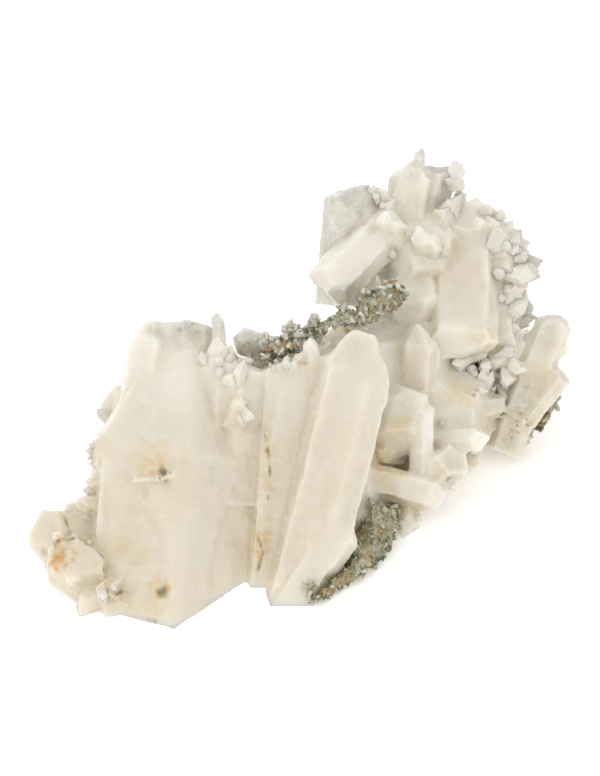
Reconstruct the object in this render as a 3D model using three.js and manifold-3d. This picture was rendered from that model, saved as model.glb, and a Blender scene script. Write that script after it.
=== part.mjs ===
// A quartz crystal cluster: milky prisms with clearer points, grown together as one mass, with crusts of
// green chlorite in the saddle between its two lobes, along its broken foot and under its side spray.
// Millimetres, +Z up, origin on the floor under the middle of the cluster.
import * as THREE from "three";
import { ConvexGeometry } from "three/addons/geometries/ConvexGeometry.js";
import { mergeVertices } from "three/addons/utils/BufferGeometryUtils.js";
import Module from "manifold-3d";

const wasm = await Module();
wasm.setup();

// Driving dimensions. The crystals are laid out on a front plane that leans back: x runs to the right,
// y up the plane and z out of it, towards the viewer.
const FRONT_RISE = 35; // degrees that the plane's outward normal rises above the floor
const FLOOR_LINE = { y: -79, z: 30 }; // the floor cuts the plane's frame through this line
const RHOMB_SLOPE = 38.2; // degrees between a rhombohedron face and the crystal's axis, in all quartz
const FACE_SCATTER = 0.16; // how unequal a crystal's faces are, as a share of its size
const WEAR_TILT = 2; // how squarely a worn tip is broken off: larger is squarer
const DRUSE_LENGTH = [1.8, 2.8]; // length of a druse point in widths
const DRUSE_LEAN = 0.35; // how far druse points lean from their patch's heading
const BLOCK_FACES = 20; // fracture faces of a massive block
const LUMP_FACES = 9; // fracture faces of a crust's lump
const FRACTURE_SCATTER = 0.14; // how unequal a block's faces are, as a share of its size
const LUMP_STRETCH = 1.15; // how much longer a lump is than wide
const LUMP_SCATTER = 0.3; // how unequal the lumps of a crust are
const CRUST_GAP = 0.3; // clearance between a crust and the quartz under it
const SEEDS = { massif: 100, druse: 300, crusts: 6200 }; // where each kind of piece starts its scatter
const FINISHES = {
  quartz: { color: 0xe6dccb, roughness: 0.25, metalness: 0 },
  chlorite: { color: 0x6c705a, roughness: 0.9, metalness: 0 },
};
const TOUCH = 1e-6; // how near a point counts as on a plane
const WELD = 1e-4; // how near two points count as one
const END_ON = 0.9; // a crystal points at the viewer when its axis leans this far out of the plane

// Left lobe: broad steep prisms side by side, a clear roof behind them and small points round the foot.
const leftLobe = {
  greatPrism: {
    root: [-48.5, -88, 3.5], tip: [-37, 22, -4],
    width: 58, depth: 44, slope: 25, roll: 12, worn: 5,
  },
  tonguePrism: {
    root: [-54, -26, 8], tip: [-48, 27, -9],
    width: 19, depth: 16, slope: 30, roll: 8, worn: 4.5,
  },
  midPrism: {
    root: [-42, -34, 15], tip: [-40, 23, -14],
    width: 30, depth: 21, slope: 58, roll: 8, worn: 3,
  },
  shoulderPrism: {
    root: [-25, -38, -3], tip: [-22, 14, -3],
    width: 25, depth: 27, slope: 60, roll: 8, worn: 1.5,
  },
  ridgePrism: { root: [-28, -20, 8], tip: [-27.5, 20, 3], width: 8, slope: 36, worn: 1 },
  clearRoof: { root: [-38, -20, -4], tip: [-37, 25.5, -6], width: 16, depth: 10, slope: 62, roll: 30 },
  knob: { root: [-26.5, 8, 0], tip: [-27.5, 27, 0], width: 5.5, worn: 1 },
  sideBump: { root: [-58, -22, 8], tip: [-71.5, -20, 8], width: 10, slope: 55 },
  sideCrystal: { root: [-66, -52, 0], tip: [-93, -50, 8], width: 22, depth: 18, slope: 44, worn: 2 },
  ironBoss: { root: [-69, -57, -2], tip: [-76, -60, 27], width: 21, slope: 56 },
  sideShoulder: { root: [-66, -46, 0], tip: [-79, -36, 4], width: 13, slope: 46 },
  footPoint: { root: [-62, -60, 14], tip: [-72, -75, 24], width: 10 },
  footPebble: { root: [-58, -62, 16], tip: [-64, -75, 25], width: 10 },
};

// Middle: two long blades side by side that lean to the right, and one crystal that crosses below them.
const middle = {
  leftBlade: { root: [-8, -80, 1], tip: [-1, 14, -4], width: 27, depth: 20, slope: 58, roll: 30 },
  greatBlade: {
    root: [-3, -78, 8], tip: [22.5, 22, 8],
    width: 22, depth: 20, slope: 30, roll: 20, worn: 2.5,
  },
  crossCrystal: { root: [-8, -77, 12], tip: [18, -40, 12], width: 14, depth: 15, roll: 30 },
};

// Saddle: small clear points that stand behind the crust between the lobes.
const saddle = {
  lens: { root: [-6, 13, -10], tip: [-24, 17.5, -8], width: 11, depth: 9, slope: 56 },
  pointA: { root: [-2, 10, -10], tip: [-3.5, 24.5, -8], width: 5.5 },
  pointB: { root: [5, 12, -12], tip: [4, 27, -10], width: 5.5 },
};

// Right lobe: crystals that radiate from a heart far behind the front plane.
const rightLobe = {
  clearTower: { root: [14.5, 28, -38], tip: [19, 72, -40], width: 20, depth: 16, slope: 60, roll: 20 },
  towerTwin: { root: [25, 40, -44], tip: [27.5, 70.5, -44], width: 15, depth: 12, slope: 55, roll: 30 },
  whitePrism: { root: [31, 57, -40], tip: [7, 31.5, -18], width: 17, depth: 14, slope: 62, roll: 30 },
  topFin: {
    root: [34.5, 46, -46], tip: [39.5, 80.5, -46],
    width: 16, depth: 11, slope: 40, roll: 30, worn: 1.5,
  },
  topPoint: { root: [40, 66, -45], tip: [41.5, 84.5, -45], width: 4.8 },
  clearTip: { root: [42, 53, -49], tip: [50, 79.5, -49], width: 12.5, depth: 11, slope: 56 },
  heartPoint: { root: [34, 45, -50], tip: [32.5, 57, -26], width: 10 },
  heartTwin: { root: [43, 45, -52], tip: [42.5, 55, -28], width: 9 },
  plateCrystal: {
    root: [57, 60, -60], tip: [54, 8, -25],
    width: 25, depth: 20, slope: 60, roll: 30, worn: 1,
  },
  innerPrism: { root: [38, 50, -52], tip: [40, 21, -26], width: 18, depth: 14, slope: 54, roll: 30 },
  crownA: { root: [56, 42, -58], tip: [54, 68.5, -57], width: 13, slope: 46 },
  crownB: { root: [57, 42, -58], tip: [62, 68.5, -57], width: 13, slope: 50 },
  crownC: { root: [57, 42, -58], tip: [69, 64.5, -56], width: 12, slope: 48 },
  crownD: { root: [58, 40, -58], tip: [73, 57, -54], width: 13, slope: 46 },
  sideBulge: { root: [60, 42, -56], tip: [81, 41.5, -45], width: 20, depth: 18, slope: 60 },
  sidePoint: { root: [66, 31, -52], tip: [81.5, 26, -46], width: 10 },
  greyPrism: { root: [38.5, -8, -30], tip: [40, 25, -19], width: 16, depth: 14, roll: 30, worn: 1.5 },
};

// Side spray: thin blades at the foot of the right lobe, lying across each other.
const spray = {
  longBlade: { root: [70, -22, -46], tip: [88.5, 26.5, -42], width: 14, depth: 10, slope: 60, roll: 30 },
  bladeFoot: { root: [73, -17.5, -50], tip: [85.5, 8, -48], width: 12, depth: 9, slope: 60, roll: 30 },
  shortBlade: { root: [75, -14, -44], tip: [91.5, 7, -40], width: 9, depth: 8, slope: 56 },
  bladeKnob: { root: [84, 11, -42], tip: [93.7, 15, -40], width: 4.5 },
  crossBlade: { root: [70, -5, -42], tip: [43.5, -9.5, -26], width: 8.5, depth: 7, roll: 30 },
  whiteBlade: { root: [40, -18.5, -30], tip: [64.5, -16, -18], width: 9, depth: 8 },
  standingBlade: { root: [40.5, -32, -16], tip: [42, -3.5, -14], width: 9, depth: 7, slope: 52 },
  roundPoint: { root: [42, -22, -36], tip: [52, -28, -10], width: 15, slope: 56 },
  lyingBlade: { root: [17, -28.5, -12], tip: [51, -37, -14], width: 12, depth: 9, roll: 30, worn: 1 },
  downPoint: { root: [37.5, -36, -20], tip: [34.5, -50.5, -11], width: 9 },
  shadePoint: { root: [50, -23, -36], tip: [62, -27, -28], width: 9 },
  recessPoint: { root: [34, -21.5, -26], tip: [25.5, -20.5, -10], width: 8 },
  recessTwin: { root: [36, -14, -30], tip: [29, -8, -12], width: 9 },
};

// Back: points that lean away behind both lobes and the saddle.
const back = {
  leftA: { root: [-50, -22, -8], tip: [-63, 2, -38], width: 19, depth: 16 },
  leftB: { root: [-40, -26, -12], tip: [-36, 10, -44], width: 21, depth: 18, roll: 30 },
  leftC: { root: [-30, -32, -12], tip: [-15, -4, -46], width: 17, depth: 15 },
  leftD: { root: [-52, -52, -14], tip: [-70, -44, -30], width: 18, depth: 15 },
  saddleA: { root: [0, -32, -22], tip: [0, 6, -52], width: 19, depth: 16, roll: 30 },
  saddleB: { root: [12, -26, -24], tip: [20, 12, -64], width: 17, depth: 15 },
  saddleC: { root: [-10, -40, -30], tip: [-22, -24, -58], width: 14, depth: 12 },
  rightA: { root: [46, 30, -60], tip: [40, 60, -86], width: 20, depth: 17, roll: 30 },
  rightB: { root: [54, 24, -60], tip: [64, 46, -92], width: 18, depth: 15 },
  rightC: { root: [40, 20, -58], tip: [24, 46, -80], width: 17, depth: 15 },
  rightD: { root: [58, 8, -54], tip: [82, 18, -78], width: 15, depth: 13 },
  rightE: { root: [46, 2, -56], tip: [40, 20, -96], width: 17, depth: 15 },
};

// Massive quartz under the crystals: broken blocks that join the lobes and carry them on the floor.
const massif = {
  left: { centre: [-44, -42, -8], radii: [26, 30, 28] },
  saddle: { centre: [0, -32, -22], radii: [34, 34, 24] },
  saddleTop: { centre: [-4, 0, -22], radii: [26, 17, 14] },
  saddleRight: { centre: [18, 10, -28], radii: [16, 14, 14] },
  bridge: { centre: [32, 6, -40], radii: [24, 22, 22] },
  sprayRoot: { centre: [46, -10, -42], radii: [23, 21, 20] },
  backFoot: { centre: [50, 2, -62], radii: [26, 24, 22] },
  right: { centre: [50, 34, -58], radii: [27, 32, 22] },
  heart: { centre: [40, 46, -46], radii: [17, 16, 14] },
  crownSide: { centre: [66, 22, -48], radii: [11, 20, 12] },
  recess: { centre: [32, -10, -20], radii: [11, 15, 11] },
};

// Druse: patches of small points, each along a line on the quartz and growing roughly one way.
const druse = {
  leftShoulder: {
    from: [-24, 4, 8], to: [-17, -12, 13], spread: 2,
    heading: [0.2, 0.7, 0.7], count: 4, width: [4, 6],
  },
  leftSide: {
    from: [-66, -30, 8], to: [-68, -40, 8], spread: 2,
    heading: [-1, 0.5, 0.4], count: 2, width: [5, 7],
  },
  leftFoot: {
    from: [-84, -48, 12], to: [-60, -72, 24], spread: 3,
    heading: [-0.3, -0.1, 1], count: 3, width: [6, 8],
  },
  seamEdge: {
    from: [-8, 15, -9], to: [24, 27, -17], spread: 1.5,
    heading: [-0.1, 1, 0.1], count: 6, width: [4, 5],
  },
  bladeTops: {
    from: [-6, 8, 4], to: [8, 12, 4], spread: 2,
    heading: [0, 1, 0.4], count: 3, width: [4, 6],
  },
  towerFoot: {
    from: [25, 66, -39], to: [30, 52, -31], spread: 3,
    heading: [0, 0.7, 0.7], count: 3, width: [5, 7],
  },
  heart: {
    from: [33, 54, -35], to: [46, 50, -35], spread: 3,
    heading: [0, 0.3, 1], count: 3, width: [6, 8],
  },
  crown: {
    from: [52, 62, -51], to: [73, 44, -48], spread: 4,
    heading: [0.2, 0.4, 0.9], count: 6, width: [7, 10],
  },
  sideDruse: {
    from: [67, 28, -43], to: [70, 4, -41], spread: 5,
    heading: [0.4, 0.1, 0.9], count: 6, width: [6, 9],
  },
  backLeft: {
    from: [-62, -30, -26], to: [-18, -24, -40], spread: 7,
    heading: [-0.1, 0.5, -0.9], count: 4, width: [9, 12],
  },
  backSaddle: {
    from: [-12, -8, -40], to: [26, 4, -52], spread: 6,
    heading: [0, 0.6, -0.8], count: 4, width: [7, 11],
  },
  backRight: {
    from: [28, 30, -76], to: [74, 22, -76], spread: 8,
    heading: [0.1, 0.5, -0.9], count: 4, width: [9, 12],
  },
};

// Crusts: each is a chain of lumps along a line of [x, y, z, radius].
const crusts = {
  chlorite_seam: {
    line: [[-17, 11.5, 0, 1.2], [-8, 13, -1, 3.6], [0, 18, -3, 3], [8, 21.5, -5, 3], [14, 24, -8, 3],
      [21, 24.5, -11, 3.2], [26, 30, -15, 5], [30.5, 32, -18, 4.5]],
    lumps: 11,
  },
  chlorite_foot: {
    line: [[5, -66, 14, 4.5], [12, -62, 10, 5], [19, -57, 4, 5.5], [25, -50, -3, 6], [28, -43, -8, 5]],
    lumps: 9,
  },
  chlorite_rim: {
    line: [[76, -17, -52, 2.2], [82, -9, -50, 2.8], [88, -3, -48, 2]],
    lumps: 7,
  },
};

const frontPlane = new THREE.Matrix4().makeRotationX(THREE.MathUtils.degToRad(90 - FRONT_RISE));
const floorHeight = new THREE.Vector3(0, FLOOR_LINE.y, FLOOR_LINE.z).applyMatrix4(frontPlane).z;

// A repeatable series of numbers from 0 to 1 for one seed: each is the last times a fixed step, less whole
// periods. The spread keeps the series of neighbouring seeds apart.
const SERIES = { step: 16807, period: 2147483647, spread: 7919, first: 17 };
function series(seed) {
  let state = seed * SERIES.spread + SERIES.first;
  return () => {
    state = (state * SERIES.step) % SERIES.period;
    return state / SERIES.period;
  };
}

// The closed convex solid inside a set of planes { normal, reach }, as a geometry.
function convexGeometry(planes) {
  const corners = new Map();
  const inside = (p) => planes.every((plane) => plane.normal.dot(p) <= plane.reach + TOUCH);
  const meeting = new THREE.Matrix3();
  planes.forEach((a, i) => {
    planes.slice(0, i).forEach((b, j) => {
      planes.slice(0, j).forEach((c) => {
        meeting.set(...a.normal.toArray(), ...b.normal.toArray(), ...c.normal.toArray());
        if (Math.abs(meeting.determinant()) < TOUCH) return;
        const corner = new THREE.Vector3(a.reach, b.reach, c.reach).applyMatrix3(meeting.invert());
        if (inside(corner)) corners.set(corner.toArray().map((v) => v.toFixed(4)).join(), corner);
      });
    });
  });
  return new ConvexGeometry([...corners.values()]);
}

// A quartz crystal along +Z from the origin: six prism faces, closed by three or six rhombohedron faces.
function crystalGeometry({ length, width, depth, slope, roll, worn, tipFaces, seed, grow }) {
  const random = series(seed);
  const lean = THREE.MathUtils.degToRad(slope);
  const shoulder = length - Math.min(width, depth) / 2 / Math.tan(lean);
  const planes = [{ normal: new THREE.Vector3(0, 0, -1), reach: grow }];
  for (let face = 0; face < 6; face++) {
    const turn = THREE.MathUtils.degToRad(60 * face + roll);
    const side = new THREE.Vector3(Math.cos(turn), Math.sin(turn), 0);
    const reach = Math.hypot((side.x * width) / 2, (side.y * depth) / 2);
    const prism = reach * (1 + FACE_SCATTER * (random() - 0.5));
    const rise = shoulder + width * FACE_SCATTER * (random() - 0.5) * 2;
    const point = side.clone().multiplyScalar(Math.cos(lean)).setZ(Math.sin(lean));
    planes.push({ normal: side, reach: prism + grow });
    if (tipFaces === 3 && face % 2) continue;
    planes.push({ normal: point, reach: point.dot(side.clone().multiplyScalar(prism).setZ(rise)) + grow });
  }
  if (worn > 0) {
    const chip = new THREE.Vector3(random() - 0.5, random() - 0.5, WEAR_TILT).normalize();
    planes.push({ normal: chip, reach: chip.z * (length - worn) + grow });
  }
  return convexGeometry(planes);
}

// A broken block: a rounded mass with flat fracture faces in scattered directions.
function blockGeometry({ radii, faces, seed, grow }) {
  const random = series(seed);
  const planes = [];
  for (let face = 0; face < faces; face++) {
    const height = 1 - (2 * (face + 0.5)) / faces;
    const turn = face * Math.PI * (3 - Math.sqrt(5)) + random();
    const ring = Math.sqrt(1 - height * height);
    const normal = new THREE.Vector3(ring * Math.cos(turn), ring * Math.sin(turn), height);
    const reach = Math.hypot(...normal.toArray().map((v, axis) => v * radii[axis]));
    planes.push({ normal, reach: reach * (1 - FRACTURE_SCATTER * random()) + grow });
  }
  return convexGeometry(planes);
}

// A geometry as a solid for joining and cutting.
function solidOf(geometry) {
  const bare = new THREE.BufferGeometry().setAttribute("position", geometry.getAttribute("position"));
  if (geometry.index) bare.setIndex(geometry.index);
  const merged = mergeVertices(bare, WELD);
  const vertProperties = merged.getAttribute("position").array;
  const triVerts = new Uint32Array(merged.index.array);
  return new wasm.Manifold(new wasm.Mesh({ numProp: 3, vertProperties, triVerts }));
}

// Turns a crystal from +Z to its own axis, with its depth towards the viewer, and stands it on its root.
function placeCrystal(crystal, seed, grow) {
  const { root, tip, width, depth = width, slope = RHOMB_SLOPE, roll = 0, worn = 0, tipFaces = 6 } = crystal;
  const from = new THREE.Vector3(...root);
  const axis = new THREE.Vector3(...tip).sub(from);
  const length = axis.length();
  axis.normalize();
  const facing = axis.z > END_ON ? new THREE.Vector3(0, 1, 0) : new THREE.Vector3(0, 0, 1);
  const across = new THREE.Vector3().crossVectors(facing, axis).normalize();
  const outward = new THREE.Vector3().crossVectors(axis, across);
  const stand = new THREE.Matrix4().makeBasis(across, outward, axis).setPosition(from);
  const place = stand.premultiply(frontPlane);
  const geometry = crystalGeometry({ length, width, depth, slope, roll, worn, tipFaces, seed, grow });
  return solidOf(geometry.applyMatrix4(place));
}

function placeBlock({ centre, radii, faces = BLOCK_FACES }, seed, grow) {
  const place = new THREE.Matrix4().makeTranslation(...centre).premultiply(frontPlane);
  return solidOf(blockGeometry({ radii, faces, seed, grow }).applyMatrix4(place));
}

// The small points of one patch of druse, half sunk in what they grow on.
function drusePoints({ from, to, spread, heading, count, width }, seed) {
  const random = series(seed);
  const either = () => 2 * random() - 1;
  const jitter = (size) => new THREE.Vector3(either(), either(), either()).multiplyScalar(size);
  const start = new THREE.Vector3(...from);
  const end = new THREE.Vector3(...to);
  return Array.from({ length: count }, (_, i) => {
    const foot = start.clone().lerp(end, (i + 0.5) / count).add(jitter(spread));
    const size = THREE.MathUtils.lerp(...width, random());
    const growth = new THREE.Vector3(...heading).normalize().add(jitter(DRUSE_LEAN)).normalize();
    const length = size * THREE.MathUtils.lerp(...DRUSE_LENGTH, random());
    const root = foot.clone().addScaledVector(growth, -length / 2).toArray();
    const tip = foot.clone().addScaledVector(growth, length / 2).toArray();
    return { root, tip, width: size, roll: 60 * random(), tipFaces: 3 };
  });
}

// The quartz mass, every face moved out by grow.
function quartzSolid(grow) {
  const groups = [leftLobe, middle, saddle, rightLobe, spray, back];
  const crystals = groups.flatMap((group) => Object.values(group));
  const points = Object.values(druse).flatMap((patch, i) => drusePoints(patch, SEEDS.druse + i));
  const solids = [...crystals, ...points].map((crystal, i) => placeCrystal(crystal, i + 1, grow));
  Object.values(massif).forEach((block, i) => solids.push(placeBlock(block, SEEDS.massif + i, grow)));
  return solids.reduce((whole, solid) => whole.add(solid));
}

// A crust: rough lumps along its line, cut back from the quartz.
function crustSolid({ line, lumps }, seed, quartz) {
  const random = series(seed);
  const path = new THREE.CatmullRomCurve3(line.map(([x, y, z]) => new THREE.Vector3(x, y, z)));
  let crust = null;
  for (let i = 0; i < lumps; i++) {
    const along = i / (lumps - 1);
    const station = along * (line.length - 1);
    const stretch = Math.min(Math.floor(station), line.length - 2);
    const [before, after] = [line[stretch][3], line[stretch + 1][3]];
    const size = 1 + LUMP_SCATTER * (random() - 0.5);
    const radius = size * THREE.MathUtils.lerp(before, after, station - stretch);
    const centre = path.getPoint(along).toArray();
    const radii = [radius * LUMP_STRETCH, radius, radius];
    const lump = placeBlock({ centre, radii, faces: LUMP_FACES }, seed + i, 0);
    crust = crust ? crust.add(lump) : lump;
  }
  return crust.subtract(quartz);
}

// Everything below the floor is cut away, so that the cluster stands on a flat broken foot.
const ROOM = 1000;
const roomAbove = new THREE.BoxGeometry(ROOM, ROOM, ROOM).translate(0, 0, floorHeight + ROOM / 2);
const aboveFloor = solidOf(roomAbove);

function largestBody(solid) {
  return solid.decompose().reduce((best, body) => (body.volume() > best.volume() ? body : best));
}

function meshOf(name, solid, finish) {
  const made = solid.getMesh();
  const geometry = new THREE.BufferGeometry();
  geometry.setAttribute("position", new THREE.BufferAttribute(new Float32Array(made.vertProperties), 3));
  geometry.setIndex(new THREE.BufferAttribute(new Uint32Array(made.triVerts), 1));
  const mesh = new THREE.Mesh(geometry, new THREE.MeshStandardMaterial(finish));
  mesh.name = name;
  return mesh;
}

const cluster = new THREE.Group();
const quartz = largestBody(quartzSolid(0).intersect(aboveFloor));
cluster.add(meshOf("quartz_cluster", quartz, FINISHES.quartz));
const quartzWithGap = quartzSolid(CRUST_GAP);
Object.entries(crusts).forEach(([name, crust], i) => {
  const solid = largestBody(crustSolid(crust, SEEDS.crusts * (i + 1), quartzWithGap).intersect(aboveFloor));
  cluster.add(meshOf(name, solid, FINISHES.chlorite));
});

// The origin goes on the floor under the middle of the cluster.
const box = new THREE.Box3().setFromObject(cluster);
const middlePoint = box.getCenter(new THREE.Vector3());
cluster.position.set(-middlePoint.x, -middlePoint.y, -box.min.z);

export default cluster;
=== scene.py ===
import math
from itertools import product

import bpy
import numpy as np
from mathutils import Matrix, Vector
from mathutils.bvhtree import BVHTree
from mathutils.geometry import delaunay_2d_cdt


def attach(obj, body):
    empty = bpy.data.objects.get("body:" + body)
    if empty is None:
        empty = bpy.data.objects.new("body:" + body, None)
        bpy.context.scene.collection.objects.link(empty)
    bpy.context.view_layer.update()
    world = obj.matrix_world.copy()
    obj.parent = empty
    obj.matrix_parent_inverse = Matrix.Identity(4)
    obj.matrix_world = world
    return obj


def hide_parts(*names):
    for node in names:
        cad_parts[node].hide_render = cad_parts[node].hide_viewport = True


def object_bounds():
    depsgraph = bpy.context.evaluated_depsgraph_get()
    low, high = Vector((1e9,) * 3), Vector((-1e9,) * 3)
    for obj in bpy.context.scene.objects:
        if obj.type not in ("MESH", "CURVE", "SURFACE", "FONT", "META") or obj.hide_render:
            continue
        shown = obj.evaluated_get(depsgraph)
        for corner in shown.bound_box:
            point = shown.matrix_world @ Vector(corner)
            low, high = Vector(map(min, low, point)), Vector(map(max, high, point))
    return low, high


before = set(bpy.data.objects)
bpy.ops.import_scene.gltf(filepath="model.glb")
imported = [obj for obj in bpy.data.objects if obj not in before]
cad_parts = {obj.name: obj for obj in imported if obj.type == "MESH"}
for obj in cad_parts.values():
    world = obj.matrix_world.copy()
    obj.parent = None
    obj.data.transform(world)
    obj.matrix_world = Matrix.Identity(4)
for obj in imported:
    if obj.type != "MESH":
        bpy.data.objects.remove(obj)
cad_low, cad_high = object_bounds()

# Viewpoint. The cluster stands on a table and is seen from in front and above through a long lens, so that
# its prisms stay almost parallel. Its crystals lie about a leaning front plane that faces this view, in
# millimetres to the right, up the plane and out of it.
MM = 0.001
PHOTO_SIZE = (600, 776)  # pixels
FRONT_RISE = math.radians(35)  # how far the plane's outward normal rises above the floor
FRONT_ORIGIN = np.array([-1.43, -17.74, 47.51])  # the plane's origin in the part
FRONT_AXES = np.array([
    [1, 0, 0],
    [0, math.sin(FRONT_RISE), math.cos(FRONT_RISE)],
    [0, -math.cos(FRONT_RISE), math.sin(FRONT_RISE)],
])  # one row each for right, up and out
VIEW_DISTANCE = 1437.0
VIEW_AIM = (0, 0.67)  # the point of the plane that is in the picture's middle
LENS = 200  # millimetres of focal length
SENSOR = 36  # millimetres along the picture's long side
FOCAL_PIXELS = LENS / SENSOR * max(PHOTO_SIZE)
SIGHT_LIMIT = 20  # metres


def from_front(points):
    """The part's millimetres of points given in the front plane's frame: the origin plus each coordinate
    times its axis."""
    return FRONT_ORIGIN + np.asarray(points, float) @ FRONT_AXES


def to_front(points):
    """The front plane's coordinates of points of the part: their distances along the three axes."""
    return (np.asarray(points, float) - FRONT_ORIGIN) @ FRONT_AXES.T


eye = from_front((*VIEW_AIM, VIEW_DISTANCE))
camera = bpy.data.objects.new("camera", bpy.data.cameras.new("camera"))
camera.data.lens = LENS
camera.data.sensor_width = SENSOR
camera.data.clip_end = SIGHT_LIMIT
camera.matrix_world = Matrix.Translation(Vector(eye * MM)) @ Matrix(FRONT_AXES.T.tolist()).to_4x4()
bpy.context.scene.collection.objects.link(camera)
bpy.context.scene.camera = camera


# Quartz. The whole cluster is one mass of milky quartz: hexagonal prisms that grew into each other on a
# broken root, cloudy in the body and clear in some of the tips. The faces are flat but for growth lines
# across the prisms, shallow swells and chipped edges. Rock dust and rust have stayed in the hollows, and the
# hollows are also painted darker in the dust's colour as painted shade.
SKIN_EDGE = 1.25  # longest edge of the skin's triangles
CRACK_EDGE = 0.5  # the same beside a crack or a pit
FACET_ANGLE = math.radians(2)  # triangles that turn less than this are one facet
CREASE_ANGLE = math.radians(28)  # edges that turn more than this stay sharp
KEEP_INSIDE = 2  # the triangulation's own number for keeping what is inside the outline
SAME_PLACE = 1e-7  # flat places nearer than this are one to the triangulation
WELD = 1e-3  # corners of the solid nearer than this are one
ROW_GAP = 0.866  # distance of the grid's rows, in steps
GRID_SCATTER = 0.15  # how far a place of the grid strays, in steps
OUTLINE_GAP = 0.55  # how far the grid keeps from a facet's outline, in steps
LATTICE = 32  # cells after which noise and plates repeat
SWELLS = ((15, 0.42), (6, 0.22), (2.6, 0.10))  # size and height of the uneven spots of a face
SWELL_SINK = 0.6  # share of its height that a swell's mean lies under the solid's face
GROWTH_LINES = (1.5, 11, 0.13)  # spacing along a prism, reach across it and height of its growth lines
SLIM = (1.2, 2.2)  # how many times longer than wide a facet is where its growth lines start and are full
PLATES = (22, 7, 0.6)  # length, width and height of the low growth plates on a broad face
PLATE_SINK = 0.7  # share of its height that a plate's mean lies under the solid's face
PLATE_SCATTER = 0.45  # how far a plate's centre lies from the middle of its cell
PLATE_LEVEL = 0.6  # how much the plates differ in level
PLATE_TILT = 0.9  # how much they tilt
EDGE_CHIPS = ((4.2, 0.8), (1.9, 0.4))  # size and depth of the chips along an edge
HOLLOWS = (0.5, 6, 9)  # sharpest bend that counts, times it spreads and gain of the dust and painted shade in hollows
RIDGES = (-0.02, 2, 2.2)  # bend, times it spreads and gain of the marks along outer edges
CRACK_DEPTH = 0.45
CRACK_WIDTH = 0.42
CRACK_DUST_WIDTH = 2.4  # the strip of dust along a crack
CRACK_STRAY = 0.5  # how far a crack wanders from its line
PIT_DEPTH = 1.3
PIT_FLOOR = 0.2  # share of a pit's radius that is its full depth
WORN_EDGES = (0.4, 2)  # share of its neighbours' mean that an edge's point takes each time, and how often
FOOT_KEEPS = (0.4, 0.4, 0)  # share of the relief that the foot's points keep along each axis
FOOT_HEIGHT = 0.05  # points lower than this are the flat foot and stay on the floor


def welded(node):
    """Points in millimetres and triangles of a solid, with the corners that share a place made one: places
    are rounded to the weld distance and equal ones are kept once."""
    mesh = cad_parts[node].data
    places = np.empty(3 * len(mesh.vertices))
    corners = np.empty(len(mesh.loops), int)
    mesh.vertices.foreach_get("co", places)
    mesh.loops.foreach_get("vertex_index", corners)
    places = places.reshape(-1, 3) / MM
    keys = np.round(places / WELD).astype(np.int64)
    _, first, same = np.unique(keys, axis=0, return_index=True, return_inverse=True)
    triangles = same.ravel()[corners].reshape(-1, 3)
    a, b, c = triangles.T
    return places[first], triangles[(a != b) & (b != c) & (c != a)]


def edges_of(triangles):
    """Each edge of the triangles once, as sorted pairs of points, and the edge of each triangle's sides."""
    sides = np.sort(triangles[:, [[0, 1], [1, 2], [2, 0]]], axis=2).reshape(-1, 2)
    keys = sides[:, 0] * (sides.max() + 1) + sides[:, 1]
    _, first, same = np.unique(keys, return_index=True, return_inverse=True)
    return sides[first], same.reshape(-1, 3)


def face_normals(points, triangles):
    """The unit normal and the area of each triangle, from the cross product of two sides."""
    a, b, c = (points[triangles[:, k]] for k in range(3))
    cross = np.cross(b - a, c - a)
    size = np.linalg.norm(cross, axis=1)
    return cross / np.maximum(size, 1e-12)[:, None], size / 2


def neighbours(triangles):
    """The two triangles on each shared edge, and the edge's two points: sides are sorted by their edge, and
    two in a row with the same edge are a pair."""
    edges, sides = edges_of(triangles)
    order = np.argsort(sides.ravel(), kind="stable")
    edge = sides.ravel()[order]
    pair = np.flatnonzero(edge[1:] == edge[:-1])
    return order[pair] // 3, order[pair + 1] // 3, edges[edge[pair]]


def grouped(count, left, right):
    """A number for each thing of a count, the same for all that pairs of left and right join: each pair
    takes the lower of its two numbers until nothing changes."""
    group = np.arange(count)
    changed = True
    while changed:
        lower = np.minimum(group[left], group[right])
        updated = group.copy()
        np.minimum.at(updated, left, lower)
        np.minimum.at(updated, right, lower)
        updated = updated[updated]
        changed = (updated != group).any()
        group = updated
    return np.unique(group, return_inverse=True)[1]


def facets_of(points, triangles):
    """The number of the flat facet that each triangle belongs to: neighbours that turn less than the facet
    angle are in one facet."""
    normals, _ = face_normals(points, triangles)
    left, right, _ = neighbours(triangles)
    flat = (normals[left] * normals[right]).sum(1) > math.cos(FACET_ANGLE)
    return grouped(len(triangles), left[flat], right[flat])


def facet_frames(points, triangles, facet):
    """Each facet's middle, its long, wide and outward axes as three rows, and how many times longer it is
    than wide: the middle of its area, and the main axes of the area's second moments, which for a triangle
    are a twelfth of its area times the outer squares of its corners and of their sum."""
    normals, areas = face_normals(points, triangles)
    count = facet.max() + 1

    def total(values):
        columns = values.reshape(len(facet), -1).T
        return np.stack([np.bincount(facet, v, count) for v in columns], 1).reshape(count, *values.shape[1:])

    area = np.maximum(total(areas), 1e-9)
    middle = total(areas[:, None] * points[triangles].mean(1)) / area[:, None]
    corners = points[triangles] - middle[facet][:, None]
    whole = corners.sum(1)
    moments = np.einsum("tki,tkj->tij", corners, corners) + whole[:, :, None] * whole[:, None, :]
    moments = total(areas[:, None, None] / 12 * moments) / area[:, None, None]
    sizes, directions = np.linalg.eigh(moments)
    out = total(areas[:, None] * normals)
    out /= np.maximum(np.linalg.norm(out, axis=1), 1e-12)[:, None]
    long = directions[:, :, 2] - (directions[:, :, 2] * out).sum(1)[:, None] * out
    long /= np.maximum(np.linalg.norm(long, axis=1), 1e-12)[:, None]
    slim = np.sqrt(sizes[:, 2] / np.maximum(sizes[:, 1], 1e-6))
    return middle, np.stack([long, np.cross(out, long), out], 1), slim


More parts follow.
